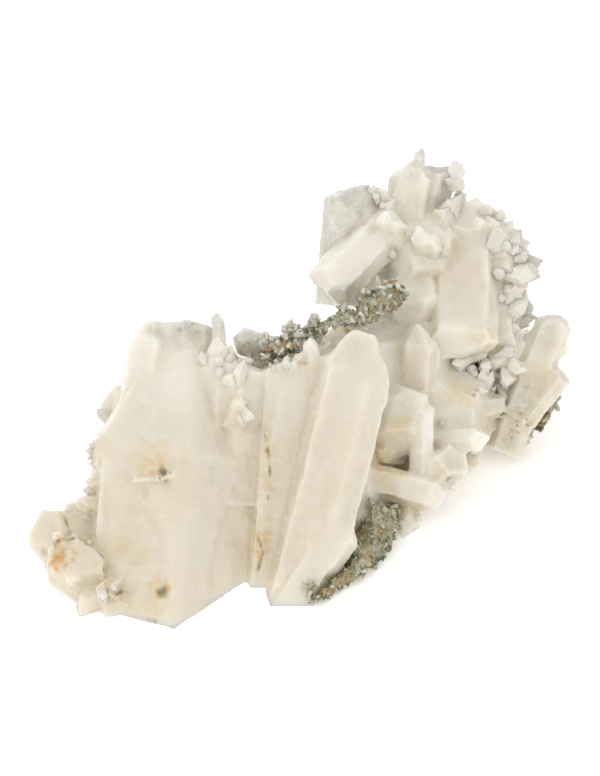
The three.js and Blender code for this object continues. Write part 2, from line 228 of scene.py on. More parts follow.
def inside_outline(places, outline):
    """Whether flat places lie inside an outline of straight stretches: an odd number of them cross the
    line that runs from the place to the right."""
    (ax, ay), (bx, by) = outline[:, 0].T, outline[:, 1].T
    x, y = places[:, :1], places[:, 1:]
    crosses = (ay > y) != (by > y)
    rise = np.where(by == ay, 1, by - ay)
    return (crosses & (x < ax + (y - ay) / rise * (bx - ax))).sum(1) % 2 == 1


def outline_distance(places, outline):
    """Distance of flat places to the nearest stretch of an outline."""
    start, run = outline[:, 0], outline[:, 1] - outline[:, 0]
    reach = places[:, None] - start
    share = np.clip((reach * run).sum(2) / np.maximum((run * run).sum(1), 1e-12), 0, 1)
    return np.linalg.norm(reach - share[:, :, None] * run, axis=2).min(1)


def without_holes(places, found, fixed, outline):
    """The triangles that are not in a hole of an outline: the fixed edges part them into regions, and each
    region stays if the middle of its largest triangle is inside."""
    left, right, edges = neighbours(found)
    free = ~np.isin(edges @ (len(places), 1), np.sort(fixed, axis=1) @ (len(places), 1))
    region = grouped(len(found), left[free], right[free])
    a, b, c = (places[found[:, k]].T for k in range(3))
    (run, rise), (side_run, side_rise) = b - a, c - a
    order = np.argsort(np.abs(run * side_rise - rise * side_run))
    largest = np.zeros(region.max() + 1, int)
    largest[region[order]] = order
    return found[inside_outline(places[found[largest]].mean(1), outline)[region]]


def staggered(low, high, step, random):
    """A staggered grid of flat places a step apart between two corners, each row half a step along from
    the last, with a little scatter."""
    row, column = np.mgrid[low[1]:high[1]:step * ROW_GAP, low[0]:high[0]:step]
    column = column + step / 2 * (np.arange(len(row))[:, None] % 2)
    places = np.stack([column.ravel(), row.ravel()], 1)
    return places + random.uniform(-GRID_SCATTER, GRID_SCATTER, places.shape) * step


def remeshed(points, triangles, facet, steps, step_at):
    """The same facets in even triangles. Each crease is cut into short stretches, each facet is filled with
    a staggered grid of places, and a Delaunay triangulation that keeps the facet's outline joins them.
    step_at picks one of the steps for each place."""
    random = np.random.default_rng(11)
    middle, axes, _ = facet_frames(points, triangles, facet)
    edges, sides = edges_of(triangles)
    side_facet = np.repeat(facet, 3)
    low = np.full(len(edges), facet.max() + 1)
    high = np.full(len(edges), -1)
    np.minimum.at(low, sides.ravel(), side_facet)
    np.maximum.at(high, sides.ravel(), side_facet)
    creases = np.flatnonzero(low != high)
    a, b = edges[creases].T
    length = np.linalg.norm(points[a] - points[b], axis=1)
    parts = np.ceil(length / step_at((points[a] + points[b]) / 2)).astype(int).clip(1)
    number = np.repeat(np.arange(len(creases)), parts)
    first = np.cumsum(parts) - parts
    place = np.arange(len(number)) - first[number]
    fresh = place > 0
    share = (place / parts[number])[fresh, None]
    start = a[number]
    start[fresh] = len(points) + np.arange(fresh.sum())
    end = np.where(place == parts[number] - 1, b[number], np.roll(start, -1))
    cuts = points[a[number]][fresh] * (1 - share) + points[b[number]][fresh] * share
    points = np.concatenate([points, cuts])
    crease_number = np.full(len(edges), -1)
    crease_number[creases] = np.arange(len(creases))
    side_crease = crease_number[sides.ravel()]
    order = np.flatnonzero(side_crease >= 0)
    order = order[np.argsort(side_facet[order], kind="stable")]
    limits = np.searchsorted(side_facet[order], np.arange(facet.max() + 2))
    added, made, made_facet = [points], [], []
    total = len(points)
    for f in range(facet.max() + 1):
        mine = side_crease[order[limits[f]:limits[f + 1]]]
        stretches = np.concatenate([first[e] + np.arange(parts[e]) for e in mine])
        names, local = np.unique(np.stack([start[stretches], end[stretches]], 1), return_inverse=True)
        local = local.reshape(-1, 2)
        flat = (points[names] - middle[f]) @ axes[f][:2].T
        outline = flat[local]
        filling = []
        for step in steps:
            grid = staggered(flat.min(0), flat.max(0), step, random)
            grid = grid[step_at(middle[f] + grid @ axes[f][:2]) == step]
            grid = grid[inside_outline(grid, outline)]
            filling.append(grid[outline_distance(grid, outline) > OUTLINE_GAP * step] if len(grid) else grid)
        filling = np.concatenate(filling)
        places = np.concatenate([flat, filling])
        names = np.concatenate([names, total + np.arange(len(filling))])
        added.append(middle[f] + filling @ axes[f][:2])
        total += len(filling)
        joined = delaunay_2d_cdt([Vector(p) for p in places], local.tolist(), [], KEEP_INSIDE, SAME_PLACE)
        source = np.array([names[s[0]] if s else -1 for s in joined[3]])
        fixed = np.array([edge for edge, came_from in zip(joined[1], joined[4]) if came_from])
        found = without_holes(np.array([list(p) for p in joined[0]]), np.array(joined[2]), fixed, outline)
        found = source[found]
        found = found[(found >= 0).all(1)]
        made.append(found)
        made_facet.append(np.full(len(found), f))
    points = np.concatenate(added)
    triangles = np.concatenate(made)
    used, triangles = np.unique(triangles, return_inverse=True)
    return points[used], triangles.reshape(-1, 3), np.concatenate(made_facet)


class Surface:
    """Points and triangles with what their neighbourhood gives: edges, and means over the neighbours."""

    def __init__(self, points, triangles):
        self.points = points
        self.triangles = triangles
        self.edges, _ = edges_of(triangles)
        self.degree = np.bincount(self.edges.ravel(), minlength=len(points))

    def mean(self, values):
        """At each point, the mean of its neighbours' values: sums over both ends of every edge."""
        a, b = self.edges.T
        columns = values.reshape(len(self.points), -1).T
        total = [np.bincount(a, v[b], len(v)) + np.bincount(b, v[a], len(v)) for v in columns]
        return (np.stack(total, 1) / np.maximum(self.degree, 1)[:, None]).reshape(values.shape)

    def spread(self, values, times):
        """The values after each point has taken half its neighbours' mean a number of times."""
        for _ in range(times):
            values = (values + self.mean(values)) / 2
        return values

    def gather(self, values):
        """At each point, the sum of what its triangles hold."""
        total = np.zeros((len(self.points), *values.shape[1:]))
        for k in range(3):
            np.add.at(total, self.triangles[:, k], values)
        return total

    def normals(self):
        """At each point, the unit mean of its triangles' normals by area."""
        normals, areas = face_normals(self.points, self.triangles)
        total = self.gather(normals * areas[:, None])
        return total / np.maximum(np.linalg.norm(total, axis=1), 1e-12)[:, None]


def noise(points, cell, seed):
    """Smooth noise from -1 to 1: random heights on a cubic lattice of the given cell, blended between its
    eight corners by a smooth step along each axis."""
    table = np.random.default_rng(seed).uniform(-1, 1, (LATTICE,) * 3)
    place = np.asarray(points) / cell
    base = np.floor(place).astype(int)
    part = place - base
    part = part * part * (3 - 2 * part)
    total = np.zeros(len(place))
    for corner in product((0, 1), repeat=3):
        weight = np.where(np.array(corner) == 1, part, 1 - part).prod(1)
        total += weight * table[tuple(((base + corner) % LATTICE).T)]
    return total


def plates(places, seed):
    """Heights of a mosaic of tilted plates, about -1 to 1: each place belongs to the nearest of random
    centres, one in each cell of a unit lattice, and takes that plate's own level and tilt."""
    table = np.random.default_rng(seed).uniform(-1, 1, (*(LATTICE,) * 3, 6))
    base = np.floor(places).astype(int)
    best = np.full(len(places), np.inf)
    height = np.zeros(len(places))
    for corner in product((-1, 0, 1), repeat=3):
        cell = base + corner
        draw = table[tuple((cell % LATTICE).T)]
        away = places - cell - 0.5 - PLATE_SCATTER * draw[:, :3]
        distance = (away * away).sum(1)
        tilt = draw[:, 4] * away[:, 0] + draw[:, 5] * away[:, 1]
        level = PLATE_LEVEL * draw[:, 3] + PLATE_TILT * tilt
        height = np.where(distance < best, level, height)
        best = np.minimum(distance, best)
    return height


def smooth_step(value, low, high):
    """0 below low, 1 above high, and a smooth curve between."""
    t = np.clip((value - low) / (high - low), 0, 1)
    return t * t * (3 - 2 * t)


def distance_to(points, line):
    """Distance of each point to a line of two or more given places: to its nearest straight stretch."""
    best = np.full(len(points), np.inf)
    line = np.asarray(line, float)
    for start, end in zip(line[:-1], line[1:]):
        run = end - start
        share = np.clip((points - start) @ run / max(run @ run, 1e-9), 0, 1)
        best = np.minimum(best, np.linalg.norm(points - start - share[:, None] * run, axis=1))
    return best


solid_points, solid_triangles = welded("quartz_cluster")
solid_tree = BVHTree.FromPolygons(solid_points.tolist(), solid_triangles.tolist())


def seen_at(pixels):
    """The places on the quartz under the given pixels of the picture: where the sight line from the eye
    through each pixel first meets the solid."""
    places = []
    for across, down in pixels:
        sight = (across - PHOTO_SIZE[0] / 2, PHOTO_SIZE[1] / 2 - down, -FOCAL_PIXELS) @ FRONT_AXES
        place = solid_tree.ray_cast(Vector(eye), Vector(sight))[0]
        if place is not None:
            places.append(place)
    return np.array(places)


def traced(pixels):
    """The places on the quartz under a path of pixels, with every stretch of the path cut into steps."""
    path = np.asarray(pixels, float)
    stops = np.arange(0, len(path) - 1 + 1e-9, 1 / PATH_STEPS)
    return seen_at(np.stack([np.interp(stops, np.arange(len(path)), path[:, k]) for k in (0, 1)], 1))


# Cracks, pits and soft edges of the quartz, by the picture's pixels: healed breaks between the prisms, small
# holes with their radius in millimetres, and bends of the broad faces that have no sharp edge.
CRACKS = {
    "left_side": [(60, 506), (66, 518), (72, 535)],
    "left_foot": [(72, 535), (85, 537), (100, 550), (106, 570)],
    "left_boss": [(104, 578), (110, 600), (125, 590)],
    "boss_top": [(54, 548), (62, 538), (76, 536), (90, 543)],
    "lobe_edge": [(264, 430), (268, 452), (270, 470), (268, 500)],
    "blade_foot": [(250, 515), (257, 535), (263, 552), (258, 570)],
}
PITS = {"chin": (161, 470, 2.6), "foot": (160, 592, 2.8), "recess": (476, 394, 1.6)}
SOFT_EDGES = {
    "left_face": [(187, 345), (190, 442), (186, 499), (176, 615)],
    "left_break": [(106, 437), (150, 445), (190, 452)],
    "blade_face": [(366, 372), (352, 440), (330, 540)],
}
SOFT_REACH = (3, 8)  # how far a soft edge is rounded in full, and at all
SOFT_TIMES = 36  # how many times it is rounded
PATH_STEPS = 6  # sight lines for each stretch of a path
crack_lines = {name: traced(pixels) for name, pixels in CRACKS.items()}
soft_lines = {name: seen_at(pixels) for name, pixels in SOFT_EDGES.items()}
pit_places = {name: seen_at([pixel[:2]])[0] for name, pixel in PITS.items()}
pit_radii = {name: pixel[2] for name, pixel in PITS.items()}


def skin_step(places):
    """The step between the skin's points at each place: the short one beside a crack or pit."""
    near = np.full(len(places), np.inf)
    for line in crack_lines.values():
        near = np.minimum(near, distance_to(places, line))
    for name, place in pit_places.items():
        near = np.minimum(near, np.linalg.norm(places - place, axis=1) - pit_radii[name])
    return np.where(near < 2 * SKIN_EDGE, CRACK_EDGE, SKIN_EDGE)


facet = facets_of(solid_points, solid_triangles)
facet_middle, facet_axes, facet_slim = facet_frames(solid_points, solid_triangles, facet)
facet_slim = smooth_step(facet_slim, *SLIM)
points, triangles, facet = remeshed(solid_points, solid_triangles, facet, (SKIN_EDGE, CRACK_EDGE), skin_step)
skin = Surface(points, triangles)
random = np.random.default_rng(41)
facet_tone = random.uniform(-1, 1, len(facet_slim))
facet_shift = random.uniform(0, 300, len(facet_slim))

# A point inside a facet moves with that facet. A point on a crease has no facet of its own.
point_facet = np.zeros(len(points), int)
point_facet[triangles.ravel()] = np.repeat(facet, 3)
lowest = np.full(len(points), len(facet_slim))
highest = np.zeros(len(points), int)
np.minimum.at(lowest, triangles.ravel(), np.repeat(facet, 3))
np.maximum.at(highest, triangles.ravel(), np.repeat(facet, 3))
crease = (lowest != highest).astype(float)

normals = skin.normals()
foot = points[:, 2] < FOOT_HEIGHT
bend = ((skin.mean(points) - points) * normals).sum(1) / SKIN_EDGE
sharpest, times, gain = HOLLOWS
hollow = np.clip(skin.spread(np.clip(bend, 0, sharpest), times) * gain, 0, 1)
outer, times, gain = RIDGES
ridge = np.clip(skin.spread(crease * (bend < outer), times) * gain, 0, 1)

along, across, _ = np.einsum("nki,ni->kn", facet_axes[point_facet], points - facet_middle[point_facet])
spacing, reach, height = GROWTH_LINES
shift = facet_shift[point_facet]
line_places = np.stack([along / spacing + shift, across / reach, shift], 1)
lines = noise(line_places, 1, 7) * facet_slim[point_facet] * (1 - crease)
rise = height * lines
for k, (cell, swell) in enumerate(SWELLS):
    rise += swell * (noise(points, cell, 20 + k) - SWELL_SINK) * (1 - 0.5 * ridge)
length, width, height = PLATES
plate_places = np.stack([along / length, across / width, shift], 1)
rise += height * skin.spread((plates(plate_places, 29) - PLATE_SINK) * (1 - crease), 2)
for k, (cell, depth) in enumerate(EDGE_CHIPS):
    rise -= depth * ridge * smooth_step(noise(points, cell, 31 + k), 0.0, 0.7)
crack = np.zeros(len(points))
crack_dust = np.zeros(len(points))
for line in crack_lines.values():
    away = distance_to(points, line) + CRACK_STRAY * noise(points, 3, 35)
    crack = np.maximum(crack, np.exp(-(away / CRACK_WIDTH) ** 2))
    crack_dust = np.maximum(crack_dust, np.exp(-(away / CRACK_DUST_WIDTH) ** 2))
crack *= smooth_step(noise(points, 2.5, 37), -0.7, 0.2)
crack_dust *= smooth_step(noise(points, 3, 38), -0.6, 0.6)
pit = np.zeros(len(points))
for name, place in pit_places.items():
    away = np.linalg.norm(points - place, axis=1) * (1 + 0.35 * noise(points, 1.6, 36))
    pit = np.maximum(pit, 1 - smooth_step(away, PIT_FLOOR * pit_radii[name], pit_radii[name]))
rise -= CRACK_DEPTH * crack + PIT_DEPTH * pit
push = rise[:, None] * normals
push[foot] *= FOOT_KEEPS
skin.points = points + push
share, times = WORN_EDGES
worn = share * np.maximum(ridge, 0.6 * crease)[:, None] * ~foot[:, None]
for _ in range(times):
    skin.points = skin.points + worn * (skin.mean(skin.points) - skin.points)
soft = np.zeros(len(points))
for line in soft_lines.values():
    soft = np.maximum(soft, 1 - smooth_step(distance_to(points, line), *SOFT_REACH))
soft = 0.5 * (soft * ~foot)[:, None]
for _ in range(SOFT_TIMES):
    skin.points = skin.points + soft * (skin.mean(skin.points) - skin.points)
box_low = np.array(cad_low) / MM
box_high = np.array(cad_high) / MM
skin.points = np.clip(skin.points, box_low, box_high)

# Clear crystals, white ones and those that stay cream under the painted light on the upper parts, by a line
# along each in the front plane's frame, its reach and its strength.
CLEAR = {
    "roof": ([(-44, 17, -5), (-32, 25, -6)], 9, 0.4),
    "tower": ([(10, 42, -36), (16, 68, -38)], 15, 0.5),
    "tower_twin": ([(27, 60, -42), (27, 71, -44)], 9, 0.3),
    "tip": ([(45, 65, -47), (50, 78, -49)], 9, 0.5),
    "top_point": ([(40, 74, -45), (41.5, 85, -45)], 6, 0.4),
    "side_bulge": ([(76, 46, -46), (79, 34, -46)], 9, 0.45),
    "side_point": ([(76, 29, -48), (82, 26, -46)], 6, 0.45),
    "lens": ([(-22, 17, -8), (-10, 15, -9)], 8, 0.4),
    "saddle_points": ([(-3.5, 24, -8), (5, 26, -10), (18, 29, -14)], 7, 0.4),
    "knob": ([(-27, 20, 0), (-27.5, 27, 0)], 5, 0.35),
    "long_blade_end": ([(84, 18, -43), (88, 26, -42)], 8, 0.25),
    "short_blade": ([(84, 0, -42), (92, 7, -40)], 7, 0.2),
    "grey_prism": ([(38, 6, -22), (40, 25, -19)], 6, 0.15),
}
WHITE = {
    "white_prism": ([(24, 50, -34), (9, 34, -20)], 10, 0.8),
    "cross_crystal": ([(-2, -66, 18), (16, -46, 20)], 9, 0.35),
    "white_blade": ([(44, -18, -26), (64, -16, -16)], 6, 0.9),
    "standing_blade": ([(41, -28, -12), (42, -5, -12)], 6, 0.9),
    "lying_blade": ([(25, -30, -8), (50, -36, -10)], 7, 0.6),
    "heart": ([(26, 60, -36), (40, 52, -34)], 12, 1.0),
    "crown": ([(60, 62, -50), (74, 48, -48)], 12, 1.0),
}
CREAM = {
    "great_blade": ([(0, -60, 18), (20, 15, 18)], 18, 0.8),
    "plate": ([(50, 50, -36), (58, 20, -34)], 16, 0.75),
    "grey_prism": ([(38, 0, -22), (40, 25, -19)], 10, 0.7),
    "long_blade": ([(70, -16, -42), (90, 20, -40)], 12, 0.6),
    "lying_blade": ([(25, -30, -8), (56, -36, -10)], 14, 0.6),
}
CRYSTAL_FADE = (0.45, 1.15)  # shares of a crystal's reach where its mark starts to fade and is gone


def near_crystals(front, crystals, seed):
    """How much each place belongs to the listed crystals, 0 to 1: each crystal's strength, fading from about
    half its reach outwards, with an uneven border."""
    total = np.zeros(len(front))
    border = 1 + 0.35 * noise(front, 5, seed)
    for line, reach, strength in crystals.values():
        start, end = CRYSTAL_FADE
        fade = 1 - smooth_step(distance_to(front, line) * border, start * reach, end * reach)
        total = np.maximum(total, strength * fade)
    return total


# Rust, grey-green dust and rock dust on the quartz, by the picture's pixels, with a radius in millimetres and
# a strength. The rock dust spots in the recesses, in gaps and under the lying blade are painted shade as
# well.
RUST_SPOTS = {
    "boss": (60, 560, 6.5, 1.0),
    "boss_edge": (75, 550, 3.5, 0.55),
    "boss_top": (60, 540, 3.5, 0.4),
    "side": (64, 515, 4, 0.3),
    "foot": (120, 595, 5, 0.35),
    "pit": (162, 588, 4.5, 0.5),
    "chin": (158, 466, 5, 0.3),
    "blade_foot": (262, 545, 6, 0.4),
    "seam": (345, 328, 3, 0.9),
}
GREY_SPOTS = {
    "short_blade": (522, 415, 12, 0.4),
    "long_blade_foot": (508, 438, 8, 0.35),
    "round": (452, 470, 8, 0.2),
    "chin": (162, 473, 4, 0.5),
    "roof": (190, 328, 7, 0.22),
    "saddle": (262, 350, 8, 0.4),
    "tip": (150, 620, 2.2, 1.0),
}
# Rock dust spots; those in the recesses, gaps and under the lying blade are also painted shade.
DUST_AND_SHADE_SPOTS = {
    "chin": (152, 464, 9, 0.75),
    "recess_upper": (398, 426, 7, 0.65),
    "recess_lower": (390, 467, 8, 0.7),
    "recess_side": (489, 330, 8, 0.35),
    "recess_plane": (460, 388, 10, 0.55),
    "left_foot": (150, 610, 8, 0.45),
    "foot_pit": (160, 590, 6, 0.9),
    "under_lying_blade": (395, 505, 8, 0.5),
    "blade_gap": (262, 470, 7, 0.4),
    "blade_foot": (259, 545, 9, 0.5),
    "boss_edge": (104, 572, 6, 0.45),
    "blade_side": (379, 462, 8, 0.8),
    "blade_side_low": (386, 478, 6, 0.6),
    "seam_end": (352, 322, 5, 0.6),
    "left_hollow": (118, 550, 6, 0.6),
    "left_hollow_end": (140, 558, 5, 0.4),
}
SPOT_CORE = 0.25  # share of a spot's radius that has its full strength


def near_spots(places, spots, seed):
    """How strongly the listed spots mark each place, 0 to 1: each fades from its middle to its radius, with
    a ragged border."""
    total = np.zeros(len(places))
    border = 1 + 0.5 * noise(places, 3, seed) + 0.25 * noise(places, 1.3, seed + 1)
    for across, down, radius, strength in spots.values():
        away = np.linalg.norm(places - seen_at([(across, down)])[0], axis=1)
        total = np.maximum(total, strength * (1 - smooth_step(away * border, SPOT_CORE * radius, radius)))
    return total


def new_piece(name, points, triangles, attributes, material):
    """A mesh piece from points in millimetres and triangles, riding on the part, with its attributes given
    as {name: (domain, values)}."""
    mesh = bpy.data.meshes.new(name)
    mesh.vertices.add(len(points))
    mesh.vertices.foreach_set("co", (points * MM).astype(np.float32).ravel())
    mesh.loops.add(triangles.size)
    mesh.loops.foreach_set("vertex_index", triangles.astype(np.int32).ravel())
    mesh.polygons.add(len(triangles))
    mesh.polygons.foreach_set("loop_start", np.arange(0, triangles.size, 3, dtype=np.int32))
    mesh.update(calc_edges=True)
    for label, (domain, values) in attributes.items():
        made = mesh.attributes.new(label, "FLOAT", domain)
        made.data.foreach_set("value", values.astype(np.float32))
    mesh.shade_smooth()
    mesh.set_sharp_from_angle(angle=CREASE_ANGLE)
    mesh.materials.append(material)
    piece = bpy.data.objects.new(name, mesh)
    bpy.context.scene.collection.objects.link(piece)
    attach(piece, "root")
    return piece


class Shade:
    """A socket of a material's nodes. Arithmetic on it adds Math nodes, and node() adds any other node."""

    def __init__(self, tree, socket=None):
        self.tree = tree
        self.socket = socket

    def node(self, kind, settings=None, inputs=None, output=0):
        """A new node of a kind: its settings are set first, then each input takes a value or a link."""
        made = self.tree.nodes.new(kind)
        for name, value in (settings or {}).items():
            if name == "stops":
                ramp = made.color_ramp.elements
                while len(ramp) < len(value):
                    ramp.new(1)
                for element, (position, colour) in zip(ramp, value):
                    element.position = position
                    element.color = (*colour, 1)
            else:
                setattr(made, name, value)
        for name, value in (inputs or {}).items():
            if isinstance(value, Shade):
                self.tree.links.new(value.socket, made.inputs[name])
            else:
                made.inputs[name].default_value = value
        return Shade(self.tree, made.outputs[output] if made.outputs else None)

    def math(self, operation, *others, clamp=False):
        settings = {"operation": operation, "use_clamp": clamp}
        return self.node("ShaderNodeMath", settings, dict(enumerate((self, *others))))

    def __add__(self, other):
        return self.math("ADD", other)

    def __sub__(self, other):
        return self.math("SUBTRACT", other)

    def __mul__(self, other):
        return self.math("MULTIPLY", other)

    def __rsub__(self, other):
        return (self * -1) + other

    __radd__ = __add__
    __rmul__ = __mul__

    def clamped(self):
        return self.math("ADD", 0.0, clamp=True)

    def over(self, low, high):
        """0 where the value is below low, 1 above high, smooth between."""
        settings = {"interpolation_type": "SMOOTHSTEP"}
        return self.node("ShaderNodeMapRange", settings, {"Value": self, "From Min": low, "From Max": high})

    def between(self, first, second):
        """The first colour where this value is 0, the second where it is 1, and a mix of the two between."""
        settings = {"data_type": "RGBA", "clamp_factor": True}
        return self.node("ShaderNodeMix", settings, {0: self, 6: first, 7: second}, 2)

    def tint(self, other, factor):
        """This colour mixed towards another by a factor."""
        return factor.between(self, other)

    def attribute(self, name):
        return self.node("ShaderNodeAttribute", {"attribute_name": name}, output=2)

    def grain(self, scale, detail, rough):
        """Noise on the piece's own coordinates, at a scale in bumps per metre."""
        place = self.node("ShaderNodeTexCoord", output=3)
        inputs = {"Vector": place, "Scale": scale, "Detail": detail, "Roughness": rough}
        return self.node("ShaderNodeTexNoise", None, inputs)


def new_material(name):
    """An empty node material and its tree's first handle."""
    material = bpy.data.materials.new(name)
    material.use_nodes = True
    material.node_tree.nodes.clear()
    return material, Shade(material.node_tree)


MILK = (0.725, 0.672, 0.568, 1)
MILK_WARM = (0.705, 0.635, 0.51, 1)
MILK_WHITE = (0.86, 0.84, 0.775, 1)
# Tan of rock dust, also the colour of the painted shade in hollows and recesses.
DUST_AND_SHADE_COLOUR = (0.68, 0.565, 0.345, 1)
CRACK_DARK = (0.34, 0.27, 0.16, 1)
RUST = (0.62, 0.36, 0.09, 1)
GREEN_DUST = (0.36, 0.37, 0.27, 1)
CLEAR_TINT = (0.90, 0.925, 0.91, 1)
ABSORPTION = (0.62, 0.66, 0.60, 1)
QUARTZ_IOR = 1.544
SCATTER = 0.006  # metres that light goes in the cloudy body
DENSITY = 12.0  # how strongly the clear body takes up light
CLOUDS = (60, 4, 0.6)  # bumps per metre, detail and roughness of the noise that warms the body
VEILS = (170, 5, 0.7)  # the same for veils of tiny bubbles
FINE_MARKS = (420, 4, 0.65)  # the same for what breaks up dust and rust
SPECKS = (900, 3, 0.6)  # the same for the finest roughness
BANDS = {"Scale": 2.2, "Detail": 3.0}  # fine growth lines along a facet, in bumps per millimetre
RELIEF = {"Strength": 0.28, "Distance": 0.0007}
PAINTED_LIGHT_FROM = (-24, 22)  # the height up the front plane over which painted light from above turns the quartz from cream to white
UPPER_PAINTED_LIGHT = 0.75  # how much the painted light whitens the quartz above that
GREEN_REACH = (3.5, 8.5)  # how far from a crust's line its dust lies thick, and at all


def quartz_material(name, cloudy):
    """Milky quartz and clear quartz in one: a cloudy body and a clear one that lets light through, mixed by
    how clear the crystal is, with rust, dust with painted shade, painted light on the upper parts and growth
    lines from the attributes. The cloudy share of the body's light is scattered under the surface."""
    material, new = new_material(name)
    clear = new.attribute("clear")
    white = new.attribute("white")
    dust = new.attribute("dust")
    rust = new.attribute("rust")
    green = new.attribute("green")
    crack = new.attribute("crack")
    tone = new.attribute("tone")
    along = new.attribute("along")
    cloud = new.grain(*CLOUDS)
    speck = new.grain(*SPECKS)
    fine = new.grain(*FINE_MARKS)
    veil = new.grain(*VEILS)
    warm = (cloud.over(0.42, 0.66) * 0.75 + tone * 0.22).clamped()
    colour = warm.between(MILK, MILK_WARM)
    # White crystals, the painted light on the upper parts and veils whiten the colour.
    colour = colour.tint(MILK_WHITE, white * 0.85 + veil.over(0.55, 0.8) * 0.25)
    # Dust and painted shade: rock dust, and painted shade in hollows, recesses and under the lying blade.
    colour = colour.tint(DUST_AND_SHADE_COLOUR, (dust * (fine.over(0.30, 0.62) * 0.75 + 0.35)).clamped())
    colour = colour.tint(GREEN_DUST, (green * fine.over(0.34, 0.60)).clamped())
    colour = colour.tint(RUST, (rust * fine.over(0.36, 0.62)).clamped())
    colour = colour.tint(CRACK_DARK, (crack * (fine.over(0.35, 0.6) * 0.5 + 0.5)).clamped())
    bands = new.node("ShaderNodeTexNoise", {"noise_dimensions": "1D"}, {"W": along, **BANDS})
    relief = bands * 0.55 + fine * 0.35 + speck * 0.12
    bump = new.node("ShaderNodeBump", None, {**RELIEF, "Height": relief})
    rough = veil.over(0.3, 0.75) * 0.2 + 0.13 + dust * 0.25
    milky = new.node("ShaderNodeBsdfPrincipled", {"subsurface_method": "RANDOM_WALK"}, {
        "Base Color": colour, "Roughness": rough.clamped(), "IOR": QUARTZ_IOR, "Normal": bump,
        "Subsurface Weight": cloudy, "Subsurface Radius": (1.0, 1.0, 1.0), "Subsurface Scale": SCATTER,
    })
    see = new.node("ShaderNodeBsdfPrincipled", None, {
        "Base Color": CLEAR_TINT, "Roughness": rough * 0.35, "IOR": QUARTZ_IOR, "Normal": bump,
        "Transmission Weight": 1.0,
    })
    share = clear * (veil.over(0.35, 0.7) * -0.45 + 1)
    share = (share - dust * 0.6 - rust).clamped()
    both = new.node("ShaderNodeMixShader", None, {0: share, 1: milky, 2: see})
    absorb = new.node("ShaderNodeVolumeAbsorption", None, {"Color": ABSORPTION, "Density": DENSITY})
    new.node("ShaderNodeOutputMaterial", None, {"Surface": both, "Volume": absorb})
    return material


CRUST_LINES = {
    "seam": [(-17, 11.5, 0), (-8, 13, -1), (8, 21.5, -5), (21, 24.5, -11), (30.5, 32, -18)],
    "foot": [(5, -66, 14), (12, -62, 10), (19, -57, 4), (25, -50, -3), (28, -43, -8)],
    "rim": [(76, -17, -52), (82, -9, -50), (88, -3, -48)],
}
front = to_front(points)
green = np.zeros(len(points))
for line in CRUST_LINES.values():
    away = distance_to(front, line) + 1.5 * noise(points, 3, 52)
    green = np.maximum(green, 1 - smooth_step(away, *GREEN_REACH))
# Painted light: the upper parts are painted whiter, as if lit from above, except on the crystals that stay
# cream.
upper_painted_light = UPPER_PAINTED_LIGHT * smooth_step(front[:, 1] + 9 * noise(points, 14, 62), *PAINTED_LIGHT_FROM)
upper_painted_light *= 1 - near_crystals(front, CREAM, 63)
green = np.maximum(green, near_spots(points, GREY_SPOTS, 53))
# Dust and painted shade on the quartz: the listed spots, painted shade in the hollows, and dust along the
# cracks.
dust_and_shade_mark = near_spots(points, DUST_AND_SHADE_SPOTS, 54)
dust_and_shade_mark = np.maximum(dust_and_shade_mark, np.maximum(0.2 * hollow, 0.85 * crack_dust))
quartz_finish = quartz_material("milky_quartz", 1.0)
corner_along = ((points[triangles] - facet_middle[facet][:, None]) * facet_axes[facet][:, :1]).sum(2)
skin_piece = new_piece("quartz_skin", skin.points, triangles, {
    "clear": ("POINT", near_crystals(front, CLEAR, 60)),
    # white holds the white crystals and the painted light on the upper parts.
    "white": ("POINT", np.maximum(near_crystals(front, WHITE, 61), upper_painted_light)),
    "dust": ("POINT", np.maximum(dust_and_shade_mark, 0.7 * pit)),
    "rust": ("POINT", near_spots(points, RUST_SPOTS, 56)),
    "green": ("POINT", 0.75 * green),
    "crack": ("POINT", np.maximum(crack, pit)),
    "tone": ("FACE", facet_tone[facet]),
    "along": ("CORNER", (corner_along + facet_shift[facet][:, None]).ravel()),
}, quartz_finish)
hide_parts("quartz_cluster")


# Druse. Small points of the same quartz that grew last, in patches on the shoulders, round the crown and
# along the seam: six-sided prisms under six-sided tips, each leaning its own way out of the mass.
DRUSE_LEAN = 0.3  # how far the points lean from the surface's own direction
DRUSE_SINK = 0.55  # share of a point's length that is under the surface
DRUSE_WIDTH = (0.38, 0.62)  # width of a point, in lengths
DRUSE_HEADING = 0.7  # how much a point follows its patch's heading
DRUSE_CLEAR = 0.25  # how clear the clearest of them is
